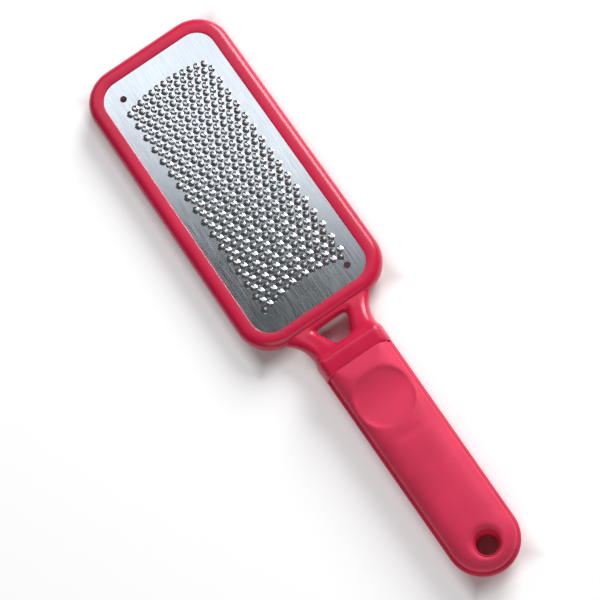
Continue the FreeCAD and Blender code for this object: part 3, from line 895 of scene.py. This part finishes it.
class FOOTFILE_OT_plate(Operator):
    """Model the pierced steel plate: a thin sheet, its holes, its locating holes and its raised scoops"""
    bl_idname = "foot_file.plate"
    bl_label = "Rasp plate"

    def execute(self, context):
        settings = context.scene.foot_file
        head, teeth = settings.head, settings.teeth
        rim = head.ring_width - head.plate_tuck
        low = TOOL_TOP - head.head_length + head.ring_bottom - head.plate_tuck
        high = TOOL_TOP - head.ring_top + head.plate_tuck
        width = head.head_width - 2 * rim
        clear_selection()
        sheet = rounded_plate("toothed_plate", width, low, high, head.corner - rim, head.plate_top)
        select_faces()
        pull((0, 0, PLATE_BOTTOM - head.plate_top))
        close_piece(sheet)

        places = list(tooth_places(teeth))
        edge = (teeth.hole - teeth.ramp) / 2
        mouths = [(across, along + way * edge, head.plate_top, way) for across, along, way in places]
        holes = repeat(hole_model(teeth), mouths, "holes_tool")
        for across, along in ((-head.pin_side, TOOL_TOP - head.pin_top),
                              (head.pin_side, TOOL_TOP - head.head_length + head.pin_bottom)):
            clear_selection()
            bpy.ops.mesh.primitive_cylinder_add(vertices=40, radius=head.pin_hole, depth=PUNCH_LENGTH,
                                                location=(across, along, head.plate_top))
            tool = open_piece("pin_hole_tool")
            close_piece(tool)
            join_pieces(holes, [tool])
        combine(sheet, holes, "DIFFERENCE")
        join_pieces(sheet, [repeat(tooth_model(teeth), mouths, "scoops")])
        finish_piece(sheet, "rasp_plate", rolled_steel(settings.finish))
        return {"FINISHED"}


def pale_floor_with_painted_light(head):
    """A matt floor with painted light: for the camera and in reflections it glows, brighter beside the tool
    and far from it, and not under the tool, where the tool's shadow stays dark.
    """
    material, shader, tree = new_material("pale_floor_with_painted_light")
    if not tree:
        return material
    shader.inputs["Base Color"].default_value = (0.92, 0.92, 0.92, 1)
    shader.inputs["Roughness"].default_value = 0.9
    shader.inputs["Specular IOR Level"].default_value = 0.0
    shader.inputs["Emission Color"].default_value = (1, 1, 1, 1)

    # How far a point of the floor lies outside the head and the handle, seen from above, which places the
    # floor's painted light
    margin, grip_half = 2 * MM, 11 * MM
    neck = TOOL_TOP - head.head_length
    place = tree.nodes.new("ShaderNodeSeparateXYZ")
    tree.links.new(object_coordinates(tree), place.inputs[0])
    across = maths(tree, "ABSOLUTE", place.outputs["X"])
    distances = []
    for half, low, high in ((head.head_width / 2 - margin, neck, TOOL_TOP), (grip_half, TOOL_END, neck)):
        along = maths(tree, "ABSOLUTE", maths(tree, "SUBTRACT", place.outputs["Y"], (low + high) / 2))
        distances.append(maths(tree, "MAXIMUM", maths(tree, "SUBTRACT", across, half),
                               maths(tree, "SUBTRACT", along, (high - low) / 2 - margin)))
    beside = maths(tree, "MINIMUM", *distances)

    # The distances over which the floor's painted light grows, and how strong it gets: a glow beside the tool
    # that pales its shadow there, and a stronger glow far away, for the camera and in reflections
    painted_light_lifts = []
    for start, end, lift in ((0, 6 * MM, 0.31), (0.25, 1.8, 0.75)):
        fade = tree.nodes.new("ShaderNodeMapRange")
        for name, value in (("From Min", start), ("From Max", end), ("To Max", lift)):
            fade.inputs[name].default_value = value
        tree.links.new(beside, fade.inputs["Value"])
        painted_light_lifts.append(fade.outputs["Result"])
    path = tree.nodes.new("ShaderNodeLightPath").outputs
    seen = maths(tree, "MAXIMUM", path["Is Camera Ray"], path["Is Glossy Ray"])
    seen = maths(tree, "MAXIMUM", seen, path["Is Transmission Ray"])
    strength = maths(tree, "MULTIPLY", seen, maths(tree, "ADD", *painted_light_lifts))
    # The painted light is the floor's emission, which is zero under the tool
    tree.links.new(strength, shader.inputs["Emission Strength"])
    return material


class FOOTFILE_OT_stage(Operator):
    """Set the pale floor with its painted light, the soft studio lights and the camera"""
    bl_idname = "foot_file.stage"
    bl_label = "Stage"

    # Name, place, aim, turn about the aim in degrees, width, depth, power and shade of each soft light
    LIGHTS = (
        ("key_panel", (0.82, 0.56, 0.62), (0.0, 0.0, 0.0), 0, 0.6, 0.6, 14.4, (1.0, 0.995, 0.99)),
        ("plate_panel", (0.10, 0.57, 0.95), (0.0, 0.08, 0.01), -35, 1.30, 0.31, 1.75, (0.90, 0.95, 1.0)),
        ("fill_panel", (-0.45, -0.95, 0.85), (0.0, 0.0, 0.0), 0, 1.0, 1.0, 5.0, (1.0, 1.0, 1.0)),
    )
    # The studio round the floor is dim, so that the steel has something dark to show
    STUDIO_STRENGTH = 0.07
    FLOOR_SIZE = 180
    FLOOR_DROP = 0.3 * MM
    # The camera's place in metres, its turn in degrees, and its lens and sensor in millimetres
    CAMERA_PLACE = (-0.029043, -0.194783, 0.669307)
    CAMERA_TURN = (14.8715, 7.6247, -33.5039)
    LENS = 108
    SENSOR = 36

    def execute(self, context):
        scene = context.scene
        clear_selection()
        bpy.ops.mesh.primitive_grid_add(x_subdivisions=8, y_subdivisions=8, size=self.FLOOR_SIZE,
                                        location=(0, 0, -self.FLOOR_DROP))
        floor = context.object
        floor.name = "floor"
        floor.data.materials.append(pale_floor_with_painted_light(scene.foot_file.head))

        scene.world = bpy.data.worlds.new("studio")
        scene.world.use_nodes = True
        backdrop = scene.world.node_tree.nodes["Background"]
        backdrop.inputs["Color"].default_value = (1, 1, 1, 1)
        backdrop.inputs["Strength"].default_value = self.STUDIO_STRENGTH

        for name, place, aim, turn, width, depth, power, shade in self.LIGHTS:
            bpy.ops.object.light_add(type="AREA", location=place)
            lamp = context.object
            lamp.name = lamp.data.name = name
            lamp.data.shape = "RECTANGLE"
            lamp.data.size, lamp.data.size_y = width, depth
            lamp.data.energy = power
            lamp.data.color = shade
            away = Vector(aim) - Vector(place)
            facing = away.to_track_quat("-Z", "Y") @ Quaternion((0, 0, 1), math.radians(turn))
            lamp.rotation_euler = facing.to_euler()

        bpy.ops.object.camera_add(location=self.CAMERA_PLACE,
                                  rotation=[math.radians(turn) for turn in self.CAMERA_TURN])
        camera = context.object
        camera.name = "camera"
        camera.data.lens, camera.data.sensor_width = self.LENS, self.SENSOR
        camera.data.clip_start = 0.01
        scene.camera = camera
        scene.view_settings.view_transform = "Standard"
        return {"FINISHED"}


class FOOTFILE_PT_sidebar(Panel):
    """The foot file's pieces and sizes."""
    bl_label = "Foot file"
    bl_idname = "FOOTFILE_PT_sidebar"
    bl_space_type = "VIEW_3D"
    bl_region_type = "UI"
    bl_category = "Foot file"

    def draw(self, context):
        for operator in PIECES:
            self.layout.operator(operator.bl_idname)
        settings = context.scene.foot_file
        for group in (settings.head, settings.teeth, settings.handle, settings.finish):
            box = self.layout.box()
            for name in group.bl_rna.properties.keys():
                if name not in ("rna_type", "name"):
                    box.prop(group, name)


PIECES = (FOOTFILE_OT_head_ring, FOOTFILE_OT_neck, FOOTFILE_OT_core, FOOTFILE_OT_grip, FOOTFILE_OT_plate,
          FOOTFILE_OT_stage)
CLASSES = (FootFileHead, FootFileTeeth, FootFileHandle, FootFileFinish, FootFileSettings, *PIECES,
           FOOTFILE_PT_sidebar)


def register():
    for item in CLASSES:
        bpy.utils.register_class(item)
    bpy.types.Scene.foot_file = PointerProperty(type=FootFileSettings)


def unregister():
    del bpy.types.Scene.foot_file
    for item in reversed(CLASSES):
        bpy.utils.unregister_class(item)


def main():
    register()
    bpy.ops.foot_file.head_ring()
    bpy.ops.foot_file.neck()
    bpy.ops.foot_file.core()
    bpy.ops.foot_file.grip()
    bpy.ops.foot_file.plate()
    bpy.ops.foot_file.stage()


if __name__ == "__main__":
    main()
